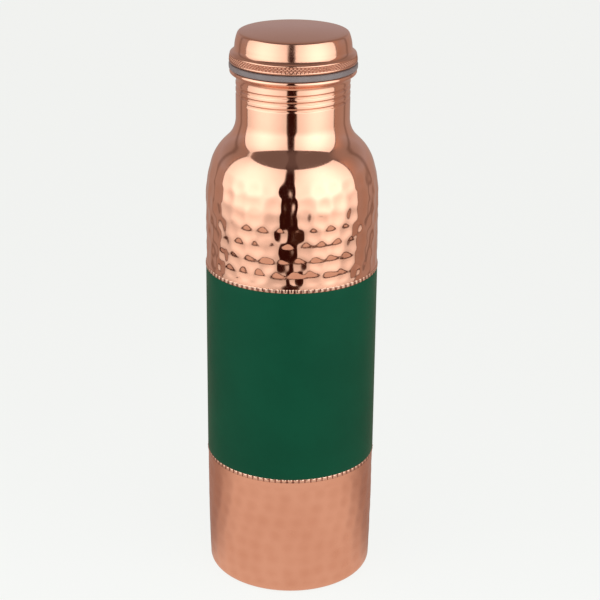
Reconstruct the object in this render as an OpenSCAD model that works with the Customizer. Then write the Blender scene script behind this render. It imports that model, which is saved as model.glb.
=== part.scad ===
// Copper water bottle with a screw cap.
// Two drawn copper halves are lap-jointed and brazed under an enamel band.
// The neck carries a rolled thread, and the cap is a pressed shell crimped
// round a drawn plug that screws down into the neck on a silicone washer.
// The origin is the centre of the foot ring, on the table, and +Z is up.

/* [Body] */
// Outside diameter of the straight wall
body_d = 74.8; // [72:0.2:78]
// Outside diameter just above the base corner
base_d = 73.4; // [71:0.2:76]
// Thickness of the copper sheet
sheet = 0.7; // [0.6:0.05:0.75]
// Height over which the wall flares from base_d to body_d
flare_h = 44; // [30:1:50]
// Radius of the corner between wall and foot
base_corner_r = 3; // [2.5:0.25:4]
// Inside diameter of the foot ring
foot_d = 58; // [50:1:62]
// Height of the recessed base panel above the table
panel_lift = 2; // [1:0.25:3]
// Height of the middle of the lap joint between the two halves
joint_z = 100; // [80:1:125]
// Length of the lap joint
lap_h = 10; // [6:1:14]
// Radial space in the lap joint, which the braze fills
lap_gap = 0.2; // [0.15:0.05:0.25]

/* [Shoulder and neck] */
// Height where the wall begins to close in
shoulder_z = 176; // [165:1:178]
// Radius of the slow upper curve of the wall
shoulder_r = 53.5; // [50:0.5:56]
// Angle through which the slow curve turns
shoulder_turn = 17.8; // [15:0.1:19]
// Radius of the tighter curve at the top of the shoulder
crown_r = 19.9; // [18:0.1:21]
// Steepest angle of the shoulder from upright
crown_turn = 45.8; // [42:0.1:48]
// Radius of the hollow curve between shoulder and neck
neck_fillet_r = 13.1; // [12:0.1:13.5]
// Outside diameter of the neck
neck_d = 48.6; // [48:0.1:49]
// Height of the mouth above the table
mouth_z = 232.8; // [232:0.1:236]
// Outside diameter of the curled lip
lip_d = 53.8; // [53:0.1:54]
// Thickness of the curled lip
lip_h = 2.2; // [2:0.1:2.4]

/* [Thread] */
// Distance between turns of the thread
pitch = 2.8; // [2.7:0.05:3]
// Depth of the rolled thread
thread_depth = 0.9; // [0.7:0.05:0.9]
// Radial space between the plug and the neck
thread_gap = 0.3; // [0.25:0.05:0.35]
// Number of turns rolled into the neck
neck_turns = 3.05; // [2.5:0.05:3.2]
// Number of turns on the plug
plug_turns = 2.3; // [1.5:0.1:2.5]
// Height of the thread's lower end in the neck
thread_z = 219.55; // [219:0.05:220]
// Direction in which the neck's thread runs out at the top
runout_angle = 225; // [0:5:355]

/* [Band] */
// Height of the band's lower border
band_low_z = 57.5; // [50:0.5:65]
// Height of the band's upper border
band_high_z = 145; // [135:0.5:155]
// Thickness of the enamel
enamel = 0.15; // [0.1:0.05:0.2]
// Height of each milled ring
ring_h = 1.7; // [1.2:0.1:2.2]
// How far each milled ring stands out of the wall
ring_t = 0.45; // [0.3:0.05:0.6]
// Number of teeth round each milled ring
ring_teeth = 90; // [60:2:100]

/* [Cap] */
// Thickness of the silicone washer
washer_h = 2.4; // [2:0.1:2.8]
// Outside diameter of the silicone washer
washer_d = 54.6; // [54:0.1:55]
// Outside diameter of the cap's grip bead
bead_d = 54.5; // [54:0.1:55]
// Lean of the bead's grip face at its top edge
bead_lean = 17; // [15:1:19]
// Radius of the hollow flare between the side wall and the bead
cap_flare_r = 3; // [2.8:0.1:3.2]
// Height of the cap's side wall above the flare
cap_wall_h = 5.27; // [5:0.01:6]
// Radius of the corner round the top
cap_corner_r = 1.3; // [1.2:0.1:1.6]
// Rise of the domed top
dome_rise = 0.9; // [0.6:0.1:1.4]
// Depth of the plug below the mouth
plug_depth = 13; // [12.5:0.1:13.2]

/* [Hidden] */
$fn = 96;

// Face-to-face space left between pieces of one assembly
touch = 0.05;
// Smallest space left round a film between two walls
film_space = 0.02;

body_r = body_d / 2;
base_r = base_d / 2;
foot_r = foot_d / 2;
// Width of the slope from the base panel down to the foot ring
panel_slope_w = 3;
flare_steps = 6;

lap_low_z = joint_z - lap_h / 2;
lap_high_z = joint_z + lap_h / 2;
// Outside radius of the upper half where it is drawn in to enter the lower half
spigot_r = body_r - sheet - lap_gap;
// Height of the step from the spigot out to the full wall
joggle_h = 1.2;
braze_fillet = 1.2;

neck_r = neck_d / 2;
bore_r = neck_r - sheet;
lip_r = lip_d / 2;
// Radius of the flare between neck and lip
lip_flare_r = 2.1;
mouth_corner_r = 0.8;

// Radii of the plug, inside the neck's rolled ridges
plug_crest_r = bore_r - thread_gap;
plug_r = plug_crest_r - thread_depth;
plug_bottom_z = mouth_z - plug_depth;
plug_corner_r = 2;
// Half widths of the thread sections, at their roots and crests
neck_ridge_root = 0.85;
neck_ridge_crest = 0.35;
neck_groove_root = 0.62;
neck_groove_crest = 0.2;
plug_ridge_root = 0.55;
plug_ridge_crest = 0.2;
// How far a ridge's root is sunk into its wall, and a groove's cutter stands out of it
root_sink = 0.3;
// Turning over which a thread dies away at each end
runout_span = 40;
steps_per_turn = 30;

washer_low_z = mouth_z + touch;
washer_high_z = washer_low_z + washer_h;
washer_bore_r = plug_r + 0.45;
washer_edge_r = 0.6;

cap_low_z = washer_high_z + touch;
bead_r = bead_d / 2;
bead_edge_r = 1.2;
crimp_r = bead_r - 2;
flange_r = bead_r - sheet - 0.4;
flange_z = cap_low_z + sheet + touch;
// Radii of the bead's barely rounded grip face and of the brow above it, and the brow's last lean
face_curve_r = 8.9;
brow_r = 0.9;
brow_lean = 62;
// Radius of the cap wall's slow curve, and the angles where it starts and ends
cap_curve_r = 17.05;
cap_curve_start = 3;
cap_curve_end = asin(sin(cap_curve_start) + cap_wall_h / cap_curve_r);
// Angle where the corner round the top runs out into the dome
dome_edge_angle = 85;

// Points along an arc about (cx, cz) in the r-z plane
function arc(cx, cz, r, from, to, n = 8) =
    [for (i = [0:n]) let (a = from + (to - from) * i / n) [cx + r * cos(a), cz + r * sin(a)]];

function reversed(list) = [for (i = [len(list) - 1:-1:0]) list[i]];

// Wall radius at share t of the flare's height
function flare(t) = base_r + (body_r - base_r) * (1 - pow(1 - t, 2));

// Outline of the lower half from the axis to its top edge, moved inwards by inset
function lower_outline(inset) = concat(
    [[0, panel_lift + inset],
     [foot_r - panel_slope_w + inset * 0.3, panel_lift + inset],
     [foot_r + inset * 0.3, inset]],
    arc(base_r - base_corner_r, base_corner_r, base_corner_r - inset, -90, 0),
    [for (i = [1:flare_steps]) let (t = i / flare_steps)
        [flare(t) - inset, base_corner_r + (flare_h - base_corner_r) * t]],
    [[body_r - inset, lap_high_z]]);

// Centre and end of each curve of the shoulder, worked out from tangency
slow_cx = body_r - shoulder_r;
crown_cx = slow_cx + (shoulder_r - crown_r) * cos(shoulder_turn);
crown_cz = shoulder_z + (shoulder_r - crown_r) * sin(shoulder_turn);
hollow_cx = neck_r + neck_fillet_r;
crown_end_r = crown_cx + crown_r * cos(crown_turn);
hollow_start_r = hollow_cx - neck_fillet_r * cos(crown_turn);
slope_len = (crown_end_r - hollow_start_r) / sin(crown_turn);
hollow_cz = crown_cz + (crown_r + neck_fillet_r) * sin(crown_turn) + slope_len * cos(crown_turn);

// Outline of the upper half from the spigot to the top of the neck, moved inwards by inset
function upper_outline(inset) = concat(
    [[spigot_r - inset, lap_low_z],
     [spigot_r - inset, lap_high_z + touch],
     [body_r - inset, lap_high_z + touch + joggle_h]],
    arc(slow_cx, shoulder_z, shoulder_r - inset, 0, shoulder_turn),
    arc(crown_cx, crown_cz, crown_r - inset, shoulder_turn, crown_turn),
    arc(hollow_cx, hollow_cz, neck_fillet_r + inset, 180 + crown_turn, 180));

// Outside of the lip, from the neck up and over to the mouth, then the mouth's inner corner
lip_edge_r = lip_h / 2;
function lip_outline() = concat(
    arc(neck_r + lip_flare_r, mouth_z - lip_h - lip_flare_r, lip_flare_r, 180, 100),
    arc(lip_r - lip_edge_r, mouth_z - lip_edge_r, lip_edge_r, -80, 90),
    arc(bore_r + mouth_corner_r, mouth_z - mouth_corner_r, mouth_corner_r, 90, 180, 5));

// One turn-by-turn screw ridge of trapezoid section. lo and hi are [radius, half width] at
// its inner and outer sides. The side named by fade shrinks to fade_r at both ends.
module screw_ridge(lo, hi, fade, fade_r, z, turns, start) {
    n = ceil(turns * steps_per_turn);
    function share(i) = min(1, i * turns * 360 / n / runout_span, (n - i) * turns * 360 / n / runout_span);
    function r_lo(i) = fade == "lo" ? fade_r + (lo[0] - fade_r) * share(i) : lo[0];
    function r_hi(i) = fade == "hi" ? fade_r + (hi[0] - fade_r) * share(i) : hi[0];
    function ring(i) = let (a = start + 360 * turns * i / n, h = z + pitch * turns * i / n)
        [[r_lo(i) * cos(a), r_lo(i) * sin(a), h - lo[1]],
         [r_hi(i) * cos(a), r_hi(i) * sin(a), h - hi[1]],
         [r_hi(i) * cos(a), r_hi(i) * sin(a), h + hi[1]],
         [r_lo(i) * cos(a), r_lo(i) * sin(a), h + lo[1]]];
    points = [for (i = [0:n]) each ring(i)];
    sides = [for (i = [0:n - 1], k = [0:3]) let (a = 4 * i + k, b = 4 * i + (k + 1) % 4)
        each [[a, b, b + 4], [a, b + 4, a + 4]]];
    ends = [[3, 2, 1, 0], [4 * n, 4 * n + 1, 4 * n + 2, 4 * n + 3]];
    polyhedron(points, concat(sides, ends));
}

module lower_body() {
    color("#c98a6b")
    rotate_extrude()
    polygon(concat(lower_outline(0), reversed(lower_outline(sheet))));
}

module upper_body() {
    start = runout_angle - 360 * neck_turns;
    color("#d2906c")
    difference() {
        union() {
            rotate_extrude()
            polygon(concat(upper_outline(0), lip_outline(), reversed(upper_outline(sheet))));
            screw_ridge([bore_r - thread_depth, neck_ridge_crest], [bore_r + root_sink, neck_ridge_root],
                        "lo", bore_r + root_sink / 2, thread_z, neck_turns, start);
        }
        screw_ridge([neck_r - thread_depth, neck_groove_crest], [neck_r + root_sink, neck_groove_root],
                    "lo", neck_r + root_sink / 2, thread_z, neck_turns, start);
    }
}

// Braze drawn into the lap joint, with its fillet under the spigot's edge
module body_braze() {
    film_out = body_r - sheet - film_space;
    film_in = spigot_r + film_space;
    color("#b8a07a")
    rotate_extrude()
    polygon([[film_in, lap_high_z - touch],
             [film_in, lap_low_z - film_space],
             [spigot_r - sheet / 2, lap_low_z - film_space],
             [film_out, lap_low_z - braze_fillet],
             [film_out, lap_high_z - touch]]);
}

// Ring with square teeth milled round its outside
module milled_ring() {
    root_r = body_r + enamel;
    tip_r = body_r + ring_t;
    tooth = 360 / ring_teeth;
    linear_extrude(ring_h)
    difference() {
        polygon([for (i = [0:ring_teeth - 1], k = [0:3])
            let (a = tooth * (i + [0, 0.12, 0.5, 0.62][k]), r = [root_r, tip_r, tip_r, root_r][k])
            [r * cos(a), r * sin(a)]]);
        circle(r = body_r + film_space, $fn = 4 * ring_teeth);
    }
}

module upper_milled_ring() {
    color("#dda27c")
    translate([0, 0, band_high_z])
    milled_ring();
}

module lower_milled_ring() {
    color("#dda27c")
    translate([0, 0, band_low_z - ring_h])
    milled_ring();
}

module band_coat() {
    inner_r = body_r + film_space;
    color("#0e5a38")
    rotate_extrude()
    translate([inner_r, band_low_z + touch])
    square([enamel, band_high_z - band_low_z - 2 * touch]);
}

module seal_washer() {
    rim_r = washer_d / 2 - washer_edge_r;
    color("#86807f")
    rotate_extrude()
    polygon(concat(
        [[washer_bore_r, washer_low_z]],
        arc(rim_r, washer_low_z + washer_edge_r, washer_edge_r, -90, 0, 5),
        arc(rim_r, washer_high_z - washer_edge_r, washer_edge_r, 0, 90, 5),
        [[washer_bore_r, washer_high_z]]));
}

// Outline of the cap from its crimped edge over the bead and wall to the axis
function cap_outline(inset) =
    let (bead_z = cap_low_z + bead_edge_r,
         face_cx = bead_r - face_curve_r,
         brow_cx = face_cx + (face_curve_r - brow_r) * cos(bead_lean),
         brow_cz = bead_z + (face_curve_r - brow_r) * sin(bead_lean),
         flare_cx = brow_cx + (brow_r + cap_flare_r) * cos(brow_lean),
         flare_cz = brow_cz + (brow_r + cap_flare_r) * sin(brow_lean),
         wall_cx = flare_cx - (cap_curve_r + cap_flare_r) * cos(cap_curve_start),
         wall_cz = flare_cz - (cap_curve_r + cap_flare_r) * sin(cap_curve_start),
         corner_cx = wall_cx + (cap_curve_r - cap_corner_r) * cos(cap_curve_end),
         corner_cz = wall_cz + (cap_curve_r - cap_corner_r) * sin(cap_curve_end),
         dome_edge_z = corner_cz + cap_corner_r * sin(dome_edge_angle),
         dome_edge_r = corner_cx + cap_corner_r * cos(dome_edge_angle),
         dome_r = (pow(dome_edge_r, 2) + pow(dome_rise, 2)) / (2 * dome_rise))
    concat(
        [[crimp_r, cap_low_z + inset]],
        arc(bead_r - bead_edge_r, bead_z, bead_edge_r - inset, -90, 0),
        arc(face_cx, bead_z, face_curve_r - inset, 0, bead_lean),
        arc(brow_cx, brow_cz, brow_r - inset, bead_lean, brow_lean),
        arc(flare_cx, flare_cz, cap_flare_r + inset, 180 + brow_lean, 180 + cap_curve_start),
        arc(wall_cx, wall_cz, cap_curve_r - inset, cap_curve_start, cap_curve_end),
        arc(corner_cx, corner_cz, cap_corner_r - inset, cap_curve_end, dome_edge_angle),
        [for (i = [1:6]) let (r = dome_edge_r * (1 - i / 6))
            [r, dome_edge_z + dome_rise - inset - (dome_r - sqrt(dome_r * dome_r - r * r))]]);

module cap_shell() {
    color("#cf9475")
    rotate_extrude()
    polygon(concat(cap_outline(0), reversed(cap_outline(sheet))));
}

// Outline of the plug from its flange down and in to the axis
function plug_outline(inset) = concat(
    [[flange_r, flange_z + inset],
     [plug_r - inset, flange_z + inset]],
    arc(plug_r - plug_corner_r, plug_bottom_z + plug_corner_r, plug_corner_r - inset, 0, -90),
    [[0, plug_bottom_z + inset]]);

module cap_plug() {
    // Half a pitch above the neck's ridge, so that the two threads lie between each other
    lead = (neck_turns - plug_turns) / 2;
    start = runout_angle - 360 * (neck_turns - lead);
    color("#c98a6b")
    union() {
        rotate_extrude()
        polygon(concat(plug_outline(0), reversed(plug_outline(sheet))));
        screw_ridge([plug_r - root_sink, plug_ridge_root], [plug_crest_r, plug_ridge_crest],
                    "hi", plug_r - root_sink / 2, thread_z + pitch * (lead + 0.5), plug_turns, start);
    }
}

lower_body();
upper_body();
body_braze();
upper_milled_ring();
lower_milled_ring();
band_coat();
seal_washer();
cap_shell();
cap_plug();
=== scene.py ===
"""Looks of the copper water bottle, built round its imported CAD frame.

The bottle is hammered copper with a smooth threaded neck, an enamelled band between two toothed
rings, and a knurled screw cap on a silicone washer. Outlines are in millimetres and become metres
when their mesh is made.
"""

import logging
import math
from dataclasses import dataclass, field
from enum import Enum
from typing import Callable

import bmesh
import bpy
import numpy as np
from mathutils import Matrix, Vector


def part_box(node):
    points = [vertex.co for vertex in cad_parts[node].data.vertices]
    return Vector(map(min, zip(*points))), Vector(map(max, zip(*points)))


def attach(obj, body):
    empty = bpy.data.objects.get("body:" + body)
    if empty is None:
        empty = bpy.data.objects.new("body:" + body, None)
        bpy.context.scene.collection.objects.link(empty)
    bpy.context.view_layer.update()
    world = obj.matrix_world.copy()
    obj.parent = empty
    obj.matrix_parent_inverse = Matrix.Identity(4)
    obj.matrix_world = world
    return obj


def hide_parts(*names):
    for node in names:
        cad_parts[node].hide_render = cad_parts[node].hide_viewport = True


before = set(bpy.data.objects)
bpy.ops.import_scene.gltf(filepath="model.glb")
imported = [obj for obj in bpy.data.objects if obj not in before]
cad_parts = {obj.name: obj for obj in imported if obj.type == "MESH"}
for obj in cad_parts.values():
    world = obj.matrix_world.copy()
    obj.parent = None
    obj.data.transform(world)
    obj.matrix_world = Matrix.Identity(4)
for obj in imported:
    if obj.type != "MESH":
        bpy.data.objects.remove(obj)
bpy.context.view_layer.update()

MM = 0.001
FULL_TURN = 2 * math.pi
log = logging.getLogger("bottle")

WEDGES = 8
MERGE_DISTANCE = 1e-6
BUMP_DISTANCE = 0.0002
THREAD_PITCH = 2.8
JOINT_GAP = 0.05
SOLDER_GAP = 0.02
DOME_CLEARANCE = 0.001

FLOAT = "NodeSocketFloat"
VECTOR = "NodeSocketVector"
COLOUR = "NodeSocketColor"

Colour = tuple[float, float, float]
Socket = bpy.types.NodeSocket
Node = bpy.types.Node
Array = np.ndarray
Moved = tuple[Array, Array]
Mover = Callable[[Array, Array, Array], Moved]


# ---------------------------------------------------------------- measuring and outlines


@dataclass(frozen=True)
class Extent:
    """Height range and largest radius of a CAD node, in millimetres."""

    low: float
    high: float
    radius: float


def extent(node: str) -> Extent:
    """Measures a CAD node.

    Args:
        node: name of the CAD node.

    Returns:
        Its height range and outside radius, in millimetres.
    """
    low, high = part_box(node)
    return Extent(low[2] / MM, high[2] / MM, (high[0] - low[0]) / 2 / MM)


def smooth_step(x: Array) -> Array:
    """Eases values at both ends.

    Args:
        x: the values, 0 to 1 where they ease.

    Returns:
        The values clamped to 0..1 and eased.
    """
    x = np.clip(x, 0.0, 1.0)
    return x * x * (3 - 2 * x)


@dataclass
class Outline:
    """Points of a profile in the r-z plane, in millimetres, added one stretch at a time."""

    points: list[tuple[float, float]] = field(default_factory=list)

    def to(self, r: float, z: float, step: float = 0.0) -> "Outline":
        """Adds a straight stretch.

        Args:
            r: radius where it ends.
            z: height where it ends.
            step: longest distance between its points; 0 adds the end point alone.

        Returns:
            The outline itself.
        """
        if step and self.points:
            r0, z0 = self.points[-1]
            count = max(1, math.ceil(math.hypot(r - r0, z - z0) / step))
            for i in range(1, count):
                self.points.append((r0 + (r - r0) * i / count, z0 + (z - z0) * i / count))
        self.points.append((r, z))
        return self

    def arc(
        self, cr: float, cz: float, radius: float, start: float, end: float, step: float
    ) -> "Outline":
        """Adds a round stretch.

        Args:
            cr: radius of the arc's centre.
            cz: height of the arc's centre.
            radius: radius of the arc.
            start: angle where it starts, in degrees from outwards towards up.
            end: angle where it ends.
            step: longest distance between its points.

        Returns:
            The outline itself.
        """
        length = abs(math.radians(end - start)) * radius
        count = max(2, math.ceil(length / step))
        for i in range(count + 1):
            angle = math.radians(start + (end - start) * i / count)
            point = (cr + radius * math.cos(angle), cz + radius * math.sin(angle))
            if not self.points or math.dist(point, self.points[-1]) > 1e-3:
                self.points.append(point)
        return self

    def spin(self, name: str, segments: int) -> bpy.types.Object:
        """Turns the outline once round the bottle's axis.

        Args:
            name: name of the new piece.
            segments: number of steps round.

        Returns:
            The new piece, closed, smooth and facing outwards.
        """
        bm = bmesh.new()
        verts = [bm.verts.new((r * MM, 0.0, z * MM)) for r, z in self.points]
        edges = [bm.edges.new(pair) for pair in zip(verts, verts[1:])]
        if self.points[0][0] > 0 or self.points[-1][0] > 0:
            edges.append(bm.edges.new((verts[-1], verts[0])))
        wedges = WEDGES
        bmesh.ops.spin(
            bm, geom=verts + edges, cent=(0, 0, 0), axis=(0, 0, 1),
            angle=FULL_TURN / wedges, steps=segments // wedges, use_merge=False,
        )
        while wedges > 1:
            wedges //= 2
            copy = bmesh.ops.duplicate(bm, geom=bm.verts[:] + bm.edges[:] + bm.faces[:])["geom"]
            copied = [part for part in copy if isinstance(part, bmesh.types.BMVert)]
            turn = Matrix.Rotation(FULL_TURN / (wedges * 2), 3, "Z")
            bmesh.ops.rotate(bm, verts=copied, cent=(0, 0, 0), matrix=turn)
        bmesh.ops.remove_doubles(bm, verts=bm.verts, dist=MERGE_DISTANCE)
        return finish_mesh(bm, name)


def finish_mesh(bm: bmesh.types.BMesh, name: str) -> bpy.types.Object:
    """Turns a bmesh into a smooth object with its normals outwards.

    Args:
        bm: the mesh, which is freed.
        name: name of the new piece.

    Returns:
        The new object, linked to the scene.
    """
    bmesh.ops.recalc_face_normals(bm, faces=bm.faces)
    for face in bm.faces:
        face.smooth = True
    mesh = bpy.data.meshes.new(name)
    bm.to_mesh(mesh)
    bm.free()
    piece = bpy.data.objects.new(name, mesh)
    bpy.context.collection.objects.link(piece)
    return piece


def shape_points(piece: bpy.types.Object, mover: Mover) -> None:
    """Moves a piece's points in the r-z plane and stores a share of painted shade for each point.

    Args:
        piece: the piece to shape.
        mover: takes radius, angle and height in millimetres, and returns the new radius and the
            share of painted shade, which is 0 on the open surface and 1 at the bottom of a mark.
    """
    mesh = piece.data
    points = np.empty(len(mesh.vertices) * 3)
    mesh.vertices.foreach_get("co", points)
    points = points.reshape(-1, 3)
    radius = np.hypot(points[:, 0], points[:, 1]) / MM
    angle = np.arctan2(points[:, 1], points[:, 0])
    moved, recess_shade = mover(radius, angle, points[:, 2] / MM)
    scale = np.where(radius > 1e-6, moved / np.maximum(radius, 1e-6), 1.0)
    points[:, 0] *= scale
    points[:, 1] *= scale
    mesh.vertices.foreach_set("co", points.ravel())
    # painted shade: the stored share darkens the colour in dimples, grooves and gaps
    layer = mesh.attributes.new("recess_shade", "FLOAT", "POINT")
    layer.data.foreach_set("value", np.clip(recess_shade, 0, 1).astype(np.float32))
    mesh.update()


# ---------------------------------------------------------------- marks worked into the metal


@dataclass(frozen=True)
class HammerMarks:
    """Staggered rows of round hammer blows on a wall."""

    wall_r: float
    first_z: float
    rows: int
    row_pitch: float = 6.6
    around: int = 32
    reach: float = 4.3
    depth: float = 0.3
    wander: float = 0.75
    seed: int = 7

    def sink(self, angle: Array, z: Array) -> Array:
        """Works out how deep the blows are.

        Args:
            angle: angle round the axis, in radians.
            z: height in millimetres.

        Returns:
            Depth below the wall, in millimetres.
        """
        rng = np.random.default_rng(self.seed)
        shape = (self.rows, self.around)
        shift_a = rng.uniform(-self.wander, self.wander, shape) / self.wall_r
        shift_z = rng.uniform(-self.wander, self.wander, shape)
        reach = self.reach * rng.uniform(0.9, 1.1, shape)
        depth = self.depth * rng.uniform(0.72, 1.28, shape)
        offset = rng.uniform(0.0, 1.0, self.rows)
        column = FULL_TURN / self.around
        row = np.floor((z - self.first_z) / self.row_pitch).astype(int)
        total = np.zeros_like(z)
        for k in (row - 1, row, row + 1, row + 2):
            inside = (k >= 0) & (k < self.rows)
            kk = np.clip(k, 0, self.rows - 1)
            nearest = np.floor(angle / column - offset[kk]).astype(int)
            for step in (-1, 0, 1, 2):
                c = nearest + step
                cc = c % self.around
                across = angle - (c + offset[kk]) * column - shift_a[kk, cc]
                up = z - (self.first_z + kk * self.row_pitch) - shift_z[kk, cc]
                share = ((across * self.wall_r) ** 2 + up**2) / reach[kk, cc] ** 2
                blow = depth[kk, cc] * np.clip(1 - share, 0, None) ** 2
                total += np.where(inside, blow, 0.0)
        return total


@dataclass(frozen=True)
class ScrewThread:
    """One rolled right-hand thread, as a groove or ridge that winds up a wall."""

    low_z: float
    turns: float
    end_angle: float
    pitch: float = THREAD_PITCH
    half_width: float = 0.7
    flank: float = 0.4
    run_out: float = 40.0

    def share(self, angle: Array, z: Array) -> Array:
        """Works out the thread's cross-section.

        Args:
            angle: angle round the axis, in radians.
            z: height in millimetres.

        Returns:
            1 on the thread's crest and 0 beside it.
        """
        start = math.radians(self.end_angle) - self.turns * FULL_TURN
        turn = np.mod(angle - start, FULL_TURN) / FULL_TURN
        whole = np.round((z - self.low_z) / self.pitch - turn)
        along = turn + whole
        off = np.abs(z - self.low_z - along * self.pitch)
        section = smooth_step((self.half_width + self.flank / 2 - off) / self.flank)
        fade = self.run_out / 360
        ends = smooth_step(along / fade) * smooth_step((self.turns - along) / fade)
        return section * ends


class RingStyle(Enum):
    """How a ring's outside is milled."""

    FLUTED = "fluted"
    BEADED = "beaded"


# ---------------------------------------------------------------- shader building


class Graph:
    """Short calls for placing and joining nodes in one node tree."""

    def __init__(self, tree: bpy.types.NodeTree) -> None:
        """Starts work in a node tree.

        Args:
            tree: the node tree.
        """
        self.tree = tree

    def add(self, kind: str, **settings: object) -> Node:
        """Adds a node.

        Args:
            kind: the node's type, without its ShaderNode prefix.
            settings: attributes to set on it.

        Returns:
            The new node.
        """
        prefix = "" if kind.startswith("NodeGroup") else "ShaderNode"
        node = self.tree.nodes.new(prefix + kind)
        for name, value in settings.items():
            setattr(node, name, value)
        return node

    def feed(self, socket: Socket, value: object) -> None:
        """Joins a socket to another, or sets it to a plain value.

        Args:
            socket: the input socket.
            value: an output socket, or the value to set.
        """
        if isinstance(value, Socket):
            self.tree.links.new(value, socket)
        elif isinstance(value, tuple) and len(value) == 3 and socket.type == "RGBA":
            socket.default_value = (*value, 1.0)
        else:
            socket.default_value = value

    def fill(self, node: Node, values: dict[str, object]) -> None:
        """Feeds several inputs of a node.

        Args:
            node: the node.
            values: input name to value or socket.
        """
        for name, value in values.items():
            self.feed(node.inputs[name], value)

    def math(self, operation: str, a: object, b: object = 0.0, clamp: bool = False) -> Socket:
        """Adds a Math node.

        Args:
            operation: the sum to do.
            a: first value or socket.
            b: second value or socket.
            clamp: keep the result in 0..1.

        Returns:
            Its output socket.
        """
        node = self.add("Math", operation=operation, use_clamp=clamp)
        self.feed(node.inputs[0], a)
        self.feed(node.inputs[1], b)
        return node.outputs[0]

    def times(self, a: object, b: object) -> Socket:
        """Multiplies two values.

        Args:
            a: first value or socket.
            b: second value or socket.

        Returns:
            Their product.
        """
        return self.math("MULTIPLY", a, b)

    def plus(self, a: object, b: object, clamp: bool = False) -> Socket:
        """Adds two values.

        Args:
            a: first value or socket.
            b: second value or socket.
            clamp: keep the result in 0..1.

        Returns:
            Their sum.
        """
        return self.math("ADD", a, b, clamp)

    def apart(self, a: object, b: object) -> Socket:
        """Works out how far apart two values are.

        Args:
            a: first value or socket.
            b: second value or socket.

        Returns:
            Their difference without its sign.
        """
        return self.math("ABSOLUTE", self.math("SUBTRACT", a, b))

    def mix(self, share: object, a: object, b: object) -> Socket:
        """Adds a colour Mix node.

        Args:
            share: how much of b, 0 to 1.
            a: first colour or socket.
            b: second colour or socket.

        Returns:
            Its colour output.
        """
        node = self.add("Mix", data_type="RGBA")
        self.feed(node.inputs[0], share)
        self.feed(node.inputs[6], a)
        self.feed(node.inputs[7], b)
        return node.outputs[2]

    def noise(self, place: object, scale: object, detail: float = 3.0, rough: float = 0.55) -> Socket:
        """Adds a Noise Texture.

        Args:
            place: where it is read.
            scale: its scale, in features per metre.
            detail: number of finer layers.
            rough: strength of the finer layers.

        Returns:
            Its value output.
        """
        node = self.add("TexNoise")
        self.fill(node, {"Vector": place, "Scale": scale, "Detail": detail, "Roughness": rough})
        return node.outputs["Fac"]

    def ramp(self, value: object, stops: tuple[tuple[float, Colour], ...]) -> Socket:
        """Adds a Color Ramp.

        Args:
            value: the position read.
            stops: position and colour of each stop, lowest first.

        Returns:
            Its colour output.
        """
        node = self.add("ValToRGB")
        elements = node.color_ramp.elements
        while len(elements) < len(stops):
            elements.new(0.5)
        for element, (position, colour) in zip(elements, stops):
            element.position = position
            element.color = (*colour, 1.0)
        self.feed(node.inputs[0], value)
        return node.outputs["Color"]

    def span(
        self, value: object, low: float, high: float, to_low: float = 0.0, to_high: float = 1.0
    ) -> Socket:
        """Adds a clamped, smooth Map Range.

        Args:
            value: the value read.
            low: value that gives to_low.
            high: value that gives to_high.
            to_low: result at low.
            to_high: result at high.

        Returns:
            Its output socket.
        """
        node = self.add("MapRange", interpolation_type="SMOOTHSTEP")
        limits = {"From Min": low, "From Max": high, "To Min": to_low, "To Max": to_high}
        self.fill(node, {"Value": value, **limits})
        return node.outputs["Result"]

    def split(self, vector: Socket) -> tuple[Socket, Socket, Socket]:
        """Takes a vector apart.

        Args:
            vector: the vector's socket.

        Returns:
            Its x, y and z.
        """
        node = self.add("SeparateXYZ")
        self.feed(node.inputs[0], vector)
        return node.outputs[0], node.outputs[1], node.outputs[2]

    def azimuth(self, x: Socket, y: Socket) -> Socket:
        """Works out a direction round the bottle.

        Args:
            x: the place's x.
            y: the place's y.

        Returns:
            Its angle in radians, from the front towards +X.
        """
        return self.math("ARCTAN2", x, self.times(y, -1.0))

    def group(self, tree: bpy.types.NodeTree, **values: object) -> Node:
        """Places a shared group.

        Args:
            tree: the group's tree.
            values: input name to value or socket.

        Returns:
            The group node.
        """
        node = self.add("Group", node_tree=tree)
        self.fill(node, values)
        return node

    def bump(self, shader: Node, height: Socket, strength: float) -> None:
        """Raises a shader's surface a little.

        Args:
            shader: the shader node.
            height: the surface's height.
            strength: how strongly it shows.
        """
        node = self.add("Bump")
        self.fill(node, {"Strength": strength, "Distance": BUMP_DISTANCE, "Height": height})
        self.feed(shader.inputs["Normal"], node.outputs["Normal"])


def new_group(
    name: str, inputs: dict[str, tuple[str, object]], outputs: dict[str, str]
) -> tuple[Graph, Node, Node]:
    """Starts a shader node group.

    Args:
        name: the group's name.
        inputs: socket name to its type and default.
        outputs: socket name to its type.

    Returns:
        The group's graph, its input node and its output node.
    """
    tree = bpy.data.node_groups.new(name, "ShaderNodeTree")
    for label, (kind, default) in inputs.items():
        socket = tree.interface.new_socket(label, in_out="INPUT", socket_type=kind)
        if default is not None:
            socket.default_value = default
    for label, kind in outputs.items():
        tree.interface.new_socket(label, in_out="OUTPUT", socket_type=kind)
    graph = Graph(tree)
    return graph, graph.add("NodeGroupInput"), graph.add("NodeGroupOutput")


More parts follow.
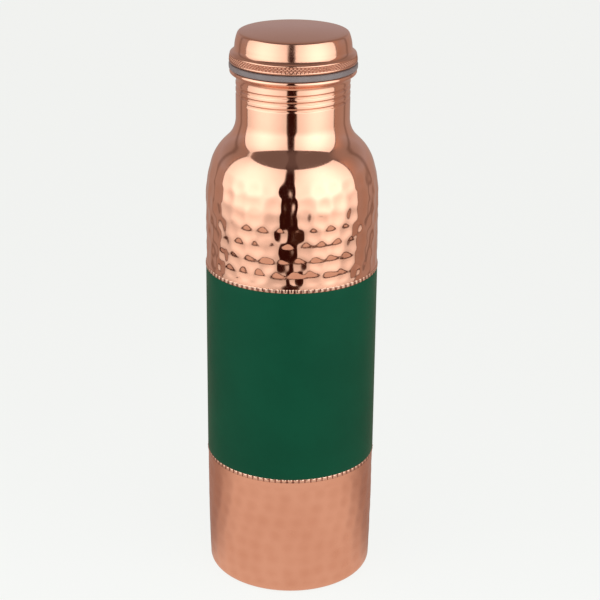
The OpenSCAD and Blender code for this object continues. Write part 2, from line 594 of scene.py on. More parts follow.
class SurfaceGroups:
    """The shader node groups that several finishes share, each built once."""

    def __init__(self) -> None:
        """Builds every group."""
        self.tone = self._tone_and_shade()
        self.turned = self._turned()
        self.handled = self._handled()
        self.grain = self._grain()

    @staticmethod
    def _tone_and_shade() -> bpy.types.NodeTree:
        """Builds the group that varies a metal's colour in patches and paints shade into its hollows.

        Returns:
            The group's tree.
        """
        graph, given, out = new_group(
            "copper_tone_and_shade",
            {
                "Vector": (VECTOR, None),
                "Bright": (COLOUR, (0.9, 0.5, 0.35, 1)),
                "Deep": (COLOUR, (0.6, 0.25, 0.15, 1)),
                "Patch": (FLOAT, 40.0),
                "Amount": (FLOAT, 0.2),
                "Recess": (FLOAT, 0.0),
            },
            {"Color": COLOUR, "Mask": FLOAT},
        )
        place, size = given.outputs["Vector"], given.outputs["Patch"]
        patch = graph.noise(place, size, 4.0)
        fleck = graph.noise(place, graph.times(size, 9.0), 2.0)
        faint = graph.span(fleck, 0.55, 0.8, 0.0, 0.35)
        cloud = graph.plus(graph.span(patch, 0.35, 0.7), faint, clamp=True)
        spread = graph.times(cloud, given.outputs["Amount"])
        # painted shade: the hollow share is added to the random patches, darkening dimples, grooves and
        # gaps
        tone_and_shade_mask = graph.plus(spread, given.outputs["Recess"], clamp=True)
        colour = graph.mix(tone_and_shade_mask, given.outputs["Bright"], given.outputs["Deep"])
        graph.fill(out, {"Color": colour, "Mask": tone_and_shade_mask})
        return graph.tree

    @staticmethod
    def _turned() -> bpy.types.NodeTree:
        """Builds the group for fine lines left round the axis by spinning and buffing.

        Returns:
            The group's tree.
        """
        graph, given, out = new_group(
            "turned_lines",
            {"Vector": (VECTOR, None), "Fineness": (FLOAT, 3000.0)},
            {"Height": FLOAT, "Value": FLOAT},
        )
        x, y, z = graph.split(given.outputs["Vector"])
        radius = graph.math("SQRT", graph.plus(graph.times(x, x), graph.times(y, y)))
        drift = graph.noise(given.outputs["Vector"], 12.0, 2.0)
        across = graph.times(graph.plus(radius, z), given.outputs["Fineness"])
        place = graph.add("CombineXYZ")
        graph.feed(place.inputs[0], across)
        graph.feed(place.inputs[1], graph.times(drift, 4.0))
        lines = graph.noise(place.outputs[0], 1.0, 3.0, 0.7)
        graph.fill(out, {"Height": lines, "Value": graph.span(lines, 0.3, 0.7)})
        return graph.tree

    @staticmethod
    def _handled() -> bpy.types.NodeTree:
        """Builds the group for faint smudges and hairline scratches from handling.

        Returns:
            The group's tree.
        """
        graph, given, out = new_group(
            "handling_marks",
            {"Vector": (VECTOR, None), "Smudge": (FLOAT, 0.05), "Scratch": (FLOAT, 0.03)},
            {"Roughness": FLOAT, "Height": FLOAT},
        )
        place = given.outputs["Vector"]
        haze = graph.span(graph.noise(place, 26.0, 5.0, 0.62), 0.46, 0.72)
        wobble = graph.add("TexNoise")
        graph.fill(wobble, {"Vector": place, "Scale": 55.0})
        shrink = graph.add("VectorMath", operation="SCALE")
        graph.feed(shrink.inputs[0], wobble.outputs["Color"])
        graph.feed(shrink.inputs["Scale"], 0.02)
        bend = graph.add("VectorMath", operation="ADD")
        graph.feed(bend.inputs[0], place)
        graph.feed(bend.inputs[1], shrink.outputs[0])
        cells = graph.add("TexVoronoi", feature="DISTANCE_TO_EDGE")
        graph.fill(cells, {"Vector": bend.outputs[0], "Scale": 120.0})
        hair = graph.span(cells.outputs["Distance"], 0.0, 0.014, 1.0, 0.0)
        broken = graph.span(graph.noise(place, 180.0, 2.0), 0.52, 0.64)
        scratch = graph.times(hair, broken)
        smudged = graph.times(haze, given.outputs["Smudge"])
        scratched = graph.times(scratch, given.outputs["Scratch"])
        total = graph.plus(smudged, scratched)
        graph.fill(out, {"Roughness": total, "Height": graph.times(scratch, -1.0)})
        return graph.tree

    @staticmethod
    def _grain() -> bpy.types.NodeTree:
        """Builds the group for a fine pebbled surface, as on fired enamel or moulded rubber.

        Returns:
            The group's tree.
        """
        graph, given, out = new_group(
            "fine_grain",
            {"Vector": (VECTOR, None), "Scale": (FLOAT, 900.0)},
            {"Height": FLOAT, "Speck": FLOAT},
        )
        place, scale = given.outputs["Vector"], given.outputs["Scale"]
        swell = graph.noise(place, scale, 2.0, 0.45)
        fine = graph.noise(place, graph.times(scale, 4.0), 1.0)
        height = graph.plus(swell, graph.times(fine, 0.25))
        graph.fill(out, {"Height": height, "Speck": graph.span(fine, 0.66, 0.74)})
        return graph.tree


def start_material(name: str) -> tuple[bpy.types.Material, Graph, Node, Socket]:
    """Starts a material with a Principled shader.

    Args:
        name: the material's name.

    Returns:
        The material, its graph, its Principled node and the Object coordinate socket.
    """
    material = bpy.data.materials.new(name)
    material.use_nodes = True
    graph = Graph(material.node_tree)
    shader = material.node_tree.nodes["Principled BSDF"]
    place = graph.add("TexCoord").outputs["Object"]
    return material, graph, shader, place


def start_glow(name: str) -> tuple[bpy.types.Material, Graph, Socket, Socket]:
    """Starts a material that only glows.

    Args:
        name: the material's name.

    Returns:
        The material, its graph, the Object coordinate socket and the glow's colour input.
    """
    material, graph, shader, place = start_material(name)
    graph.tree.nodes.remove(shader)
    emission = graph.add("Emission")
    graph.feed(graph.tree.nodes["Material Output"].inputs["Surface"], emission.outputs[0])
    return material, graph, place, emission.inputs["Color"]


@dataclass(frozen=True)
class CopperFinish:
    """Bare copper, from mirror polish to satin."""

    name: str
    bright: Colour = (0.93, 0.53, 0.375)
    # dark copper of the random patches, and the colour of the shade painted into hollows
    deep_tone_and_shade: Colour = (0.62, 0.25, 0.14)
    roughness: float = 0.06
    patch: float = 45.0
    patch_amount: float = 0.12
    # how strongly shade is painted into hollows
    recess_shade_amount: float = 0.25
    smudge: float = 0.05
    scratch: float = 0.08
    line_fineness: float = 3200.0
    line_depth: float = 0.02
    line_roughness: float = 0.02

    def make(self, groups: SurfaceGroups) -> bpy.types.Material:
        """Builds the material.

        Args:
            groups: the shared node groups.

        Returns:
            The new material.
        """
        material, graph, shader, place = start_material(self.name)
        # painted shade: the stored hollow share darkens the colour towards the deep copper
        recess_shade = graph.add("Attribute", attribute_name="recess_shade")
        tone = graph.group(
            groups.tone,
            Vector=place,
            Bright=self.bright,
            Deep=self.deep_tone_and_shade,
            Patch=self.patch,
            Amount=self.patch_amount,
            Recess=graph.times(recess_shade.outputs["Fac"], self.recess_shade_amount),
        )
        lines = graph.group(groups.turned, Vector=place, Fineness=self.line_fineness)
        marks = graph.group(groups.handled, Vector=place, Smudge=self.smudge, Scratch=self.scratch)
        rough = graph.plus(marks.outputs["Roughness"], self.roughness)
        rough = graph.plus(rough, graph.times(lines.outputs["Value"], self.line_roughness))
        values = {"Base Color": tone.outputs["Color"], "Metallic": 1.0, "Roughness": rough}
        graph.fill(shader, values)
        height = graph.plus(lines.outputs["Height"], graph.times(marks.outputs["Height"], 2.0))
        graph.bump(shader, height, self.line_depth)
        return material


@dataclass(frozen=True)
class EnamelFinish:
    """Satin baked enamel over the metal."""

    name: str = "green_enamel_satin"
    colour: Colour = (0.0022, 0.070, 0.034)
    shade: Colour = (0.0016, 0.056, 0.027)
    speck: Colour = (0.01, 0.12, 0.06)
    speck_amount: float = 0.12
    roughness: float = 0.38
    shine: float = 0.08
    grain: float = 700.0
    pebble: float = 0.12

    def make(self, groups: SurfaceGroups) -> bpy.types.Material:
        """Builds the material.

        Args:
            groups: the shared node groups.

        Returns:
            The new material.
        """
        material, graph, shader, place = start_material(self.name)
        colours = {"Bright": self.colour, "Deep": self.shade}
        tone = graph.group(groups.tone, Vector=place, Patch=30.0, Amount=0.6, **colours)
        grain = graph.group(groups.grain, Vector=place, Scale=self.grain)
        marks = graph.group(groups.handled, Vector=place, Smudge=0.06, Scratch=0.1)
        speck = graph.times(grain.outputs["Speck"], self.speck_amount)
        values = {
            "Base Color": graph.mix(speck, tone.outputs["Color"], self.speck),
            "Roughness": graph.plus(marks.outputs["Roughness"], self.roughness),
            "Specular IOR Level": self.shine,
        }
        graph.fill(shader, values)
        graph.bump(shader, grain.outputs["Height"], self.pebble)
        return material


@dataclass(frozen=True)
class SiliconeFinish:
    """Matte moulded silicone rubber."""

    name: str = "grey_silicone"
    colour: Colour = (0.185, 0.155, 0.155)
    dusty: Colour = (0.235, 0.205, 0.20)
    roughness: float = 0.48
    dust_roughness: float = 0.12
    shine: float = 0.4
    grain: float = 1500.0
    pebble: float = 0.2

    def make(self, groups: SurfaceGroups) -> bpy.types.Material:
        """Builds the material.

        Args:
            groups: the shared node groups.

        Returns:
            The new material.
        """
        material, graph, shader, place = start_material(self.name)
        colours = {"Bright": self.colour, "Deep": self.dusty}
        tone = graph.group(groups.tone, Vector=place, Patch=120.0, Amount=0.7, **colours)
        grain = graph.group(groups.grain, Vector=place, Scale=self.grain)
        dust = graph.times(tone.outputs["Mask"], self.dust_roughness)
        values = {
            "Base Color": tone.outputs["Color"],
            "Roughness": graph.plus(dust, self.roughness),
            "Specular IOR Level": self.shine,
        }
        graph.fill(shader, values)
        graph.bump(shader, grain.outputs["Height"], self.pebble)
        return material


class Finishes:
    """Every finish on the bottle, made once."""

    def __init__(self) -> None:
        """Builds the shared groups and the materials."""
        groups = SurfaceGroups()
        self.mirror = CopperFinish("copper_mirror_hammered").make(groups)
        self.satin = CopperFinish(
            "copper_soft_hammered",
            roughness=0.16,
            smudge=0.08,
            patch_amount=0.16,
            line_roughness=0.04,
            line_depth=0.05,
        ).make(groups)
        # the cap's near-black deep colour and strong hollow share paint shade into the knurl grooves
        self.cap = CopperFinish(
            "copper_mirror_spun",
            bright=(0.86, 0.48, 0.335),
            deep_tone_and_shade=(0.22, 0.06, 0.03),
            roughness=0.09,
            line_depth=0.04,
            line_roughness=0.04,
            recess_shade_amount=0.9,
            patch_amount=0.04,
        ).make(groups)
        # the ring's near-black deep colour and strong hollow share paint shade between the teeth
        self.ring = CopperFinish(
            "copper_milled",
            bright=(0.97, 0.64, 0.48),
            deep_tone_and_shade=(0.24, 0.05, 0.025),
            roughness=0.14,
            recess_shade_amount=0.85,
            patch_amount=0.04,
            line_depth=0.01,
        ).make(groups)
        self.drawn = CopperFinish(
            "copper_drawn",
            bright=(0.88, 0.48, 0.33),
            roughness=0.22,
            smudge=0.1,
            line_depth=0.1,
            line_roughness=0.08,
            patch_amount=0.25,
        ).make(groups)
        self.braze = CopperFinish(
            "braze_alloy",
            bright=(0.78, 0.62, 0.36),
            deep_tone_and_shade=(0.4, 0.3, 0.16),
            roughness=0.35,
            patch=300.0,
            patch_amount=0.6,
            line_depth=0.3,
        ).make(groups)
        self.enamel = EnamelFinish().make(groups)
        self.silicone = SiliconeFinish().make(groups)


def dress(piece: bpy.types.Object, material: bpy.types.Material, body: str, slot: str, *nodes: str) -> None:
    """Gives a piece its finish and its place in the frame.

    Args:
        piece: the new piece.
        material: its finish.
        body: the CAD body that it rides on.
        slot: name of a material slot; not used.
        nodes: the CAD nodes that it stands for.
    """
    piece.data.materials.clear()
    piece.data.materials.append(material)
    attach(piece, body)
    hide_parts(*nodes)
    log.info("%s: %d faces", piece.name, len(piece.data.polygons))


# ---------------------------------------------------------------- the bottle's sub-assemblies


@dataclass
class LowerBody:
    """Drawn lower half: recessed base, foot ring, hammered wall and the plain part under the band."""

    size: Extent
    band_low: float
    sheet: float = 0.7
    base_r: float = 36.7
    corner_r: float = 3.0
    foot_r: float = 29.0
    panel_lift: float = 2.0
    panel_slope: float = 3.0
    flare_h: float = 44.0
    segments: int = 384
    fine: float = 0.6
    coarse: float = 9.0

    def wall_r(self, z: float) -> float:
        """Works out the wall's slow flare above the base.

        Args:
            z: height in millimetres.

        Returns:
            The outside radius there.
        """
        share = min(1.0, max(0.0, (z - self.corner_r) / (self.flare_h - self.corner_r)))
        return self.base_r + (self.size.radius - self.base_r) * (1 - (1 - share) ** 2)

    def outline(self) -> Outline:
        """Draws the shell, from the axis out, up and back down inside.

        Returns:
            The closed outline.
        """
        line = Outline()
        line.to(0.0, self.panel_lift)
        line.to(self.foot_r - self.panel_slope - 1.0, self.panel_lift, 5.0)
        line.to(self.foot_r - self.panel_slope, self.panel_lift - 0.25)
        line.to(self.foot_r - 0.6, 0.25, 1.2)
        line.to(self.foot_r + 0.5, 0.0)
        line.arc(self.base_r - self.corner_r, self.corner_r, self.corner_r, -90, 0, self.fine)
        rows = math.ceil((self.band_low - self.corner_r) / self.fine)
        for i in range(1, rows + 1):
            z = self.corner_r + (self.band_low - self.corner_r) * i / rows
            line.to(self.wall_r(z), z)
        line.to(self.size.radius, self.size.high, self.coarse)
        inner = self.size.radius - self.sheet
        line.to(inner, self.size.high)
        line.to(inner, self.flare_h, self.coarse)
        for share in (0.7, 0.4, 0.15):
            z = self.flare_h * share
            line.to(self.wall_r(z) - self.sheet, z)
        line.arc(self.base_r - self.corner_r, self.corner_r, self.corner_r - self.sheet, 0, -90, 1.0)
        line.to(self.foot_r + 0.5, self.sheet)
        line.to(self.foot_r - self.panel_slope, self.panel_lift + self.sheet)
        line.to(0.0, self.panel_lift + self.sheet, 6.0)
        return line

    def build(self, finishes: Finishes) -> bpy.types.Object:
        """Builds and dresses the lower half.

        Args:
            finishes: the bottle's materials.

        Returns:
            The new piece.
        """
        marks = HammerMarks(self.size.radius, 4.0, rows=9, row_pitch=6.4, depth=0.16, seed=21)
        wall_heights = [0, self.corner_r, self.flare_h]
        least_r = [36.2, 36.3, self.size.radius - 0.35]
        piece = self.outline().spin("lower_body_shell", self.segments)

        def hammer(r: Array, angle: Array, z: Array) -> Moved:
            """Sinks the blows into the outside of the wall, and paints shade into them."""
            outside = r > np.interp(z, wall_heights, least_r)
            zone = smooth_step((z - 1.5) / 3.5) * smooth_step((self.band_low - 1.5 - z) / 2.0)
            sink = marks.sink(angle, z) * zone * outside
            return r - sink, sink / marks.depth * 0.6

        shape_points(piece, hammer)
        dress(piece, finishes.satin, "bottle", "satin_copper", "lower_body")
        return piece


@dataclass
class UpperBody:
    """Upper half: hammered wall and shoulder, smooth neck with its rolled thread, and curled lip."""

    size: Extent
    band_high: float
    lap_top: float
    sheet: float = 0.7
    lap_gap: float = 0.2
    joggle: float = 1.2
    shoulder_z: float = 176.0
    slow_r: float = 53.5
    slow_turn: float = 17.8
    crown_r: float = 19.9
    crown_turn: float = 45.8
    hollow_r: float = 13.1
    neck_r: float = 24.3
    lip_r: float = 26.9
    lip_h: float = 2.2
    lip_flare: float = 2.1
    mouth_corner: float = 0.8
    thread_z: float = 219.55
    thread_turns: float = 3.05
    thread_end: float = 225.0
    groove_depth: float = 0.34
    ridge_depth: float = 0.9
    segments: int = 384
    fine: float = 0.62
    thread_step: float = 0.22

    def shoulder(self, line: Outline, inset: float, step: float) -> None:
        """Adds the shoulder's three curves to an outline, from the wall up to the neck.

        Args:
            line: the outline to add to.
            inset: how far inside the outer surface it runs.
            step: longest distance between points.
        """
        body_r = self.size.radius
        slow_c = body_r - self.slow_r
        turn, steep = math.radians(self.slow_turn), math.radians(self.crown_turn)
        crown_c = slow_c + (self.slow_r - self.crown_r) * math.cos(turn)
        crown_z = self.shoulder_z + (self.slow_r - self.crown_r) * math.sin(turn)
        hollow_c = self.neck_r + self.hollow_r
        run = (crown_c + self.crown_r * math.cos(steep)) - (hollow_c - self.hollow_r * math.cos(steep))
        slope = run / math.sin(steep)
        hollow_z = crown_z + (self.crown_r + self.hollow_r) * math.sin(steep) + slope * math.cos(steep)
        line.arc(slow_c, self.shoulder_z, self.slow_r - inset, 0, self.slow_turn, step)
        line.arc(crown_c, crown_z, self.crown_r - inset, self.slow_turn, self.crown_turn, step)
        line.arc(hollow_c, hollow_z, self.hollow_r + inset, 180 + self.crown_turn, 180, step * 1.2)

    def outline(self) -> Outline:
        """Draws the shell: up the outside, over the lip and down the inside.

        Returns:
            The closed outline.
        """
        mouth = self.size.high
        spigot = self.size.radius - self.sheet - self.lap_gap
        lap_top = self.lap_top + JOINT_GAP
        under_lip = mouth - self.lip_h - self.lip_flare
        below_thread = self.thread_z - 1.3
        line = Outline()
        line.to(spigot, self.size.low)
        line.to(spigot, lap_top, 5.0)
        line.to(self.size.radius, lap_top + self.joggle)
        line.to(self.size.radius, self.band_high, 10.0)
        line.to(self.size.radius, self.shoulder_z, self.fine)
        self.shoulder(line, 0.0, self.fine)
        line.to(self.neck_r, below_thread, 1.2)
        line.to(self.neck_r, under_lip, self.thread_step)
        edge = self.lip_h / 2
        line.arc(self.neck_r + self.lip_flare, under_lip, self.lip_flare, 180, 100, 0.35)
        line.arc(self.lip_r - edge, mouth - edge, edge, -80, 90, 0.3)
        bore = self.neck_r - self.sheet
        line.to(bore + self.mouth_corner, mouth, 1.0)
        corner = self.mouth_corner
        line.arc(bore + corner, mouth - corner, corner, 90, 180, 0.25)
        line.to(bore, mouth - 3.6, 1.2)
        line.to(bore, below_thread, 0.4)
        inside = Outline()
        self.shoulder(inside, self.sheet, 2.2)
        for point in reversed(inside.points):
            line.to(*point)
        line.to(self.size.radius - self.sheet, lap_top + self.joggle, 12.0)
        line.to(spigot - self.sheet, lap_top)
        line.to(spigot - self.sheet, self.size.low, 5.0)
        return line

    def build(self, finishes: Finishes) -> bpy.types.Object:
        """Builds and dresses the upper half.

        Args:
            finishes: the bottle's materials.

        Returns:
            The new piece.
        """
        marks = HammerMarks(
            self.size.radius, self.band_high - 2.3, rows=8, row_pitch=6.5, reach=4.6, depth=0.39, seed=14
        )
        thread = (self.thread_z, self.thread_turns, self.thread_end)
        groove = ScrewThread(*thread, half_width=0.62, flank=0.3)
        ridge = ScrewThread(*thread, half_width=0.6, flank=0.55)
        piece = self.outline().spin("upper_body_shell", self.segments)
        fade_z = self.shoulder_z + 14.0
        shoulder_heights = [self.shoulder_z, self.shoulder_z + 16.4, self.shoulder_z + 24]
        shoulder_r = [37.4, 34.8, 29.9]

        def work(r: Array, angle: Array, z: Array) -> Moved:
            """Sinks the blows and rolls the thread, and paints shade into the dimples and the thread
            groove.
            """
            wall = (z < self.shoulder_z + 30) & (z > self.band_high - 1)
            outside = wall & (r > np.interp(z, shoulder_heights, shoulder_r) - 0.4)
            zone = smooth_step((fade_z + 6 - z) / 12.0) * smooth_step((z - self.band_high - 0.5) / 2.0)
            sink = marks.sink(angle, z) * zone * outside
            neck = z > self.thread_z - 1.5
            on_neck = neck & (r > self.neck_r - 0.35) & (r < self.neck_r + 0.8)
            rolled = groove.share(angle, z) * on_neck
            in_bore = neck & (r < self.neck_r - 0.35)
            pushed = ridge.share(angle, z) * in_bore
            # painted shade: light in the dimples, full in the thread groove
            recess_shade = sink / marks.depth * 0.35 + rolled
            return r - sink - rolled * self.groove_depth - pushed * self.ridge_depth, recess_shade

        shape_points(piece, work)
        dress(piece, finishes.mirror, "bottle", "polished_copper", "upper_body")
        return piece


@dataclass
class MilledRing:
    """Thin toothed ring soldered round the wall at a border of the band."""

    name: str
    node: str
    size: Extent
    wall_r: float
    style: RingStyle
    teeth: int = 90
    per_tooth: int = 12
    root_t: float = 0.08
    stand: float = 0.34

    def build(self, finishes: Finishes) -> bpy.types.Object:
        """Builds and dresses the ring.

        Args:
            finishes: the bottle's materials.

        Returns:
            The new piece.
        """
        inner = self.wall_r + SOLDER_GAP
        tip = self.wall_r + self.stand
        low, high = self.size.low, self.size.high
        line = Outline()
        line.to(inner, low).to(tip, low, 0.15).to(tip, high, 0.1).to(inner, high, 0.15)
        piece = line.spin(self.name, self.teeth * self.per_tooth)
        middle, half = (low + high) / 2, (high - low) / 2

        def mill(r: Array, angle: Array, z: Array) -> Moved:
            """Cuts the teeth and rounds the ring's edges, and paints shade between the teeth."""
            phase = np.abs(np.mod(angle / FULL_TURN * self.teeth, 1.0) - 0.5) * 2
            if self.style is RingStyle.FLUTED:
                across = np.sqrt(np.clip(1 - (phase / 0.66) ** 2, 0, 1))
                along = np.clip(1 - np.abs((z - middle) / half) ** 8, 0, 1) ** 0.5
                tooth = across * along
                thread = np.zeros_like(z)
                # painted shade between the flutes, from the bottom to a little above the middle
                gap = smooth_step((phase - 0.5) / 0.25) * (z < middle + 0.3 * half)
            else:
                bead_z, bead_h = high - 0.55, 0.55
                across = np.clip(1 - (phase / 0.72) ** 2, 0, 1)
                tooth = np.sqrt(np.clip(across - ((z - bead_z) / bead_h) ** 2, 0, 1))
                thread = 0.3 * np.sqrt(np.clip(1 - ((z - low - 0.3) / 0.3) ** 2, 0, 1))
                # painted shade between the beads; the smooth line under them is darkened at 0.35 as well
                gap = np.maximum(smooth_step((phase - 0.6) / 0.25), 0.35 * (z < low + 0.6))
            lift = np.maximum(tooth, thread)
            reach = (r - inner) / (tip - inner)
            full = self.root_t + (tip - inner - self.root_t) * lift
            return inner + reach * full, gap

        shape_points(piece, mill)
        dress(piece, finishes.ring, "bottle", "milled_copper", self.node)
        return piece


@dataclass
class EnamelBand:
    """The enamel sleeve between the rings, with soft edges where it was masked."""

    size: Extent
    wall_r: float
    segments: int = 256
    edge: float = 0.07

    def build(self, finishes: Finishes) -> bpy.types.Object:
        """Builds and dresses the band.

        Args:
            finishes: the bottle's materials.

        Returns:
            The new piece.
        """
        inner, outer = self.wall_r + SOLDER_GAP, self.size.radius
        low, high = self.size.low, self.size.high
        line = Outline()
        line.to(inner, low).to(outer - self.edge, low)
        line.arc(outer - self.edge, low + self.edge, self.edge, -90, 0, 0.04)
        line.to(outer, high - self.edge, 4.0)
        line.arc(outer - self.edge, high - self.edge, self.edge, 0, 90, 0.04)
        line.to(inner, high)
        piece = line.spin("enamel_band", self.segments)
        dress(piece, finishes.enamel, "bottle", "green_enamel", "band_coat")
        return piece


@dataclass
class SealWasher:
    """Silicone washer squeezed between the cap and the lip, slightly bulged by the squeeze."""

    size: Extent
    bore_r: float = 22.85
    edge: float = 0.6
    segments: int = 240

    def build(self, finishes: Finishes) -> bpy.types.Object:
        """Builds and dresses the washer.

        Args:
            finishes: the bottle's materials.

        Returns:
            The new piece.
        """
        low, high = self.size.low, self.size.high
        rim = self.size.radius - self.edge
        line = Outline()
        line.to(self.bore_r, low + 0.2).to(self.bore_r + 0.2, low)
        line.to(rim, low, 0.8)
        line.arc(rim, low + self.edge, self.edge, -90, 0, 0.16)
        line.to(self.size.radius, high - self.edge, 0.3)
        line.arc(rim, high - self.edge, self.edge, 0, 90, 0.16)
        line.to(self.bore_r + 0.2, high, 0.8).to(self.bore_r, high - 0.2)
        piece = line.spin("silicone_washer", self.segments)

        def squeeze(r: Array, angle: Array, z: Array) -> Moved:
            """Draws the rim in and out a little, as a soft washer settles."""
            waver = 0.05 * (np.sin(3 * angle + 0.4) + 0.6 * np.sin(7 * angle + 1.9) - 1.6)
            rim_share = smooth_step((r - rim + 1.0) / 1.6)
            return r + waver * rim_share, np.zeros_like(r)

        shape_points(piece, squeeze)
        dress(piece, finishes.silicone, "seal", "silicone", "seal_washer")
        return piece


@dataclass
class CapShell:
    """Pressed cap: low dome, side wall, and a bead with a diamond knurl round its lower face."""

    size: Extent
    sheet: float = 0.7
    face_r: float = 27.12
    rim_r: float = 1.2
    face_curve: float = 8.9
    face_turn: float = 17.0
    brow_r: float = 0.9
    brow_turn: float = 62.0
    flare_r: float = 2.84
    wall_start: float = 3.0
    wall_curve: float = 17.05
    wall_end: float = 21.65
    corner_r: float = 1.3
    dome_edge: float = 85.0
    knurl_low: float = 1.15
    knurl_pitch: float = 1.26
    knurl_rows: int = 2
    knurl_around: int = 104
    knurl_steps: int = 8
    knurl_depth: float = 0.5

    def surface(self, inset: float, fine: float, coarse: float) -> list[tuple[float, float]]:
        """Works out one side of the shell from the crimped edge to the axis.

        Args:
            inset: how far inside the outer surface it runs.
            fine: distance between points on the knurled bead.
            coarse: distance between points elsewhere.

        Returns:
            The points in order, in millimetres.
        """
        low = self.size.low
        r, z = self.face_r, low + self.rim_r
        line = Outline()
        line.to(self.size.radius - 2.0, low + inset)
        line.arc(r - self.rim_r, z, self.rim_r - inset, -90, 0, coarse / 2)
        stretches = (
            (self.face_curve, 0.0, self.face_turn, fine),
            (self.brow_r, self.face_turn, self.brow_turn, fine),
            (-self.flare_r, self.brow_turn, self.wall_start, fine * 1.4),
            (self.wall_curve, self.wall_start, self.wall_end, coarse),
            (self.corner_r, self.wall_end, self.dome_edge, coarse / 2),
        )
        for bend, start, end, step in stretches:
            begin, finish = math.radians(start), math.radians(end)
            cr, cz = r - bend * math.cos(begin), z - bend * math.sin(begin)
            flip = 180 if bend < 0 else 0
            line.arc(cr, cz, abs(bend - inset), start + flip, end + flip, step)
            r, z = cr + bend * math.cos(finish), cz + bend * math.sin(finish)
        rise = self.size.high - DOME_CLEARANCE - z
        dome = (r**2 + rise**2) / (2 * rise)
        steps = max(4, math.ceil(r / (coarse * 4)))
        for i in range(1, steps + 1):
            out = r * (1 - i / steps)
            line.to(out, z + rise - inset - (dome - math.sqrt(dome**2 - out**2)))
        return line.points

    def build(self, finishes: Finishes) -> bpy.types.Object:
        """Builds and dresses the cap.

        Args:
            finishes: the bottle's materials.

        Returns:
            The new piece.
        """
        fine = self.knurl_pitch / 6
        outer = self.surface(0.0, fine, 0.7)
        inner = self.surface(self.sheet, 1.2, 1.6)
        segments = self.knurl_around * self.knurl_steps
        piece = Outline(outer + inner[::-1]).spin("cap_shell_knurled", segments)
        base = self.size.low + self.knurl_low
        top = base + self.knurl_pitch * self.knurl_rows

        def knurl(r: Array, angle: Array, z: Array) -> Moved:
            """Cuts crossed grooves that leave diamonds standing, and paints shade into the grooves."""
            face = (z > base) & (z < top) & (r > self.face_r - 1.6)
            u = angle / FULL_TURN * self.knurl_around
            v = (z - base) / self.knurl_pitch
            one = np.abs(np.mod(u + v, 1.0) - 0.5) * 2
            other = np.abs(np.mod(u - v, 1.0) - 0.5) * 2
            cut = 1 - smooth_step(np.minimum(one, other) / 0.9)
            ends = smooth_step((z - base) / 0.25) * smooth_step((top - z) / 0.25)
            cut = cut * ends * face
            return r - cut * self.knurl_depth, cut

        shape_points(piece, knurl)
        dress(piece, finishes.cap, "cap", "polished_copper", "cap_shell")
        return piece


@dataclass
class CapPlug:
    """Drawn plug inside the neck: flange, closed cup and its rolled male thread."""

    size: Extent
    sheet: float = 0.7
    wall_r: float = 22.4
    crest_r: float = 23.3
    corner: float = 2.0
    thread_z: float = 222.0
    thread_turns: float = 2.3
    thread_end: float = 90.0
    segments: int = 288

    def build(self, finishes: Finishes) -> bpy.types.Object:
        """Builds and dresses the plug.

        Args:
            finishes: the bottle's materials.

        Returns:
            The new piece.
        """
        low, high, flange = self.size.low, self.size.high, self.size.radius
        line = Outline()
        line.to(0.0, low)
        line.to(self.wall_r - self.corner, low, 4.0)
        line.arc(self.wall_r - self.corner, low + self.corner, self.corner, -90, 0, 0.35)
        line.to(self.wall_r, self.thread_z + self.thread_turns * THREAD_PITCH + 1.2, 0.28)
        line.to(self.wall_r, high - self.sheet, 2.0)
        line.to(flange, high - self.sheet, 1.5).to(flange, high)
        inner = self.wall_r - self.sheet
        line.to(inner, high, 1.5)
        line.to(inner, low + self.corner, 3.0)
        line.arc(self.wall_r - self.corner, low + self.corner, self.corner - self.sheet, 0, -90, 0.6)
        line.to(0.0, low + self.sheet, 5.0)
        piece = line.spin("cap_plug_threaded", self.segments)
        thread = (self.thread_z, self.thread_turns, self.thread_end)
        ridge = ScrewThread(*thread, half_width=0.42, flank=0.4)

        def roll(r: Array, angle: Array, z: Array) -> Moved:
            """Raises the thread on the outside of the cup, and paints a light shade over the outer wall
            except on the thread's crest.
            """
            outside = (r > self.wall_r - 0.3) & (z < high - 3)
            raised = ridge.share(angle, z) * outside
            return r + raised * (self.crest_r - self.wall_r), (1 - raised) * outside * 0.3

        shape_points(piece, roll)
        dress(piece, finishes.drawn, "cap", "drawn_copper", "cap_plug")
        return piece


# ---------------------------------------------------------------- studio


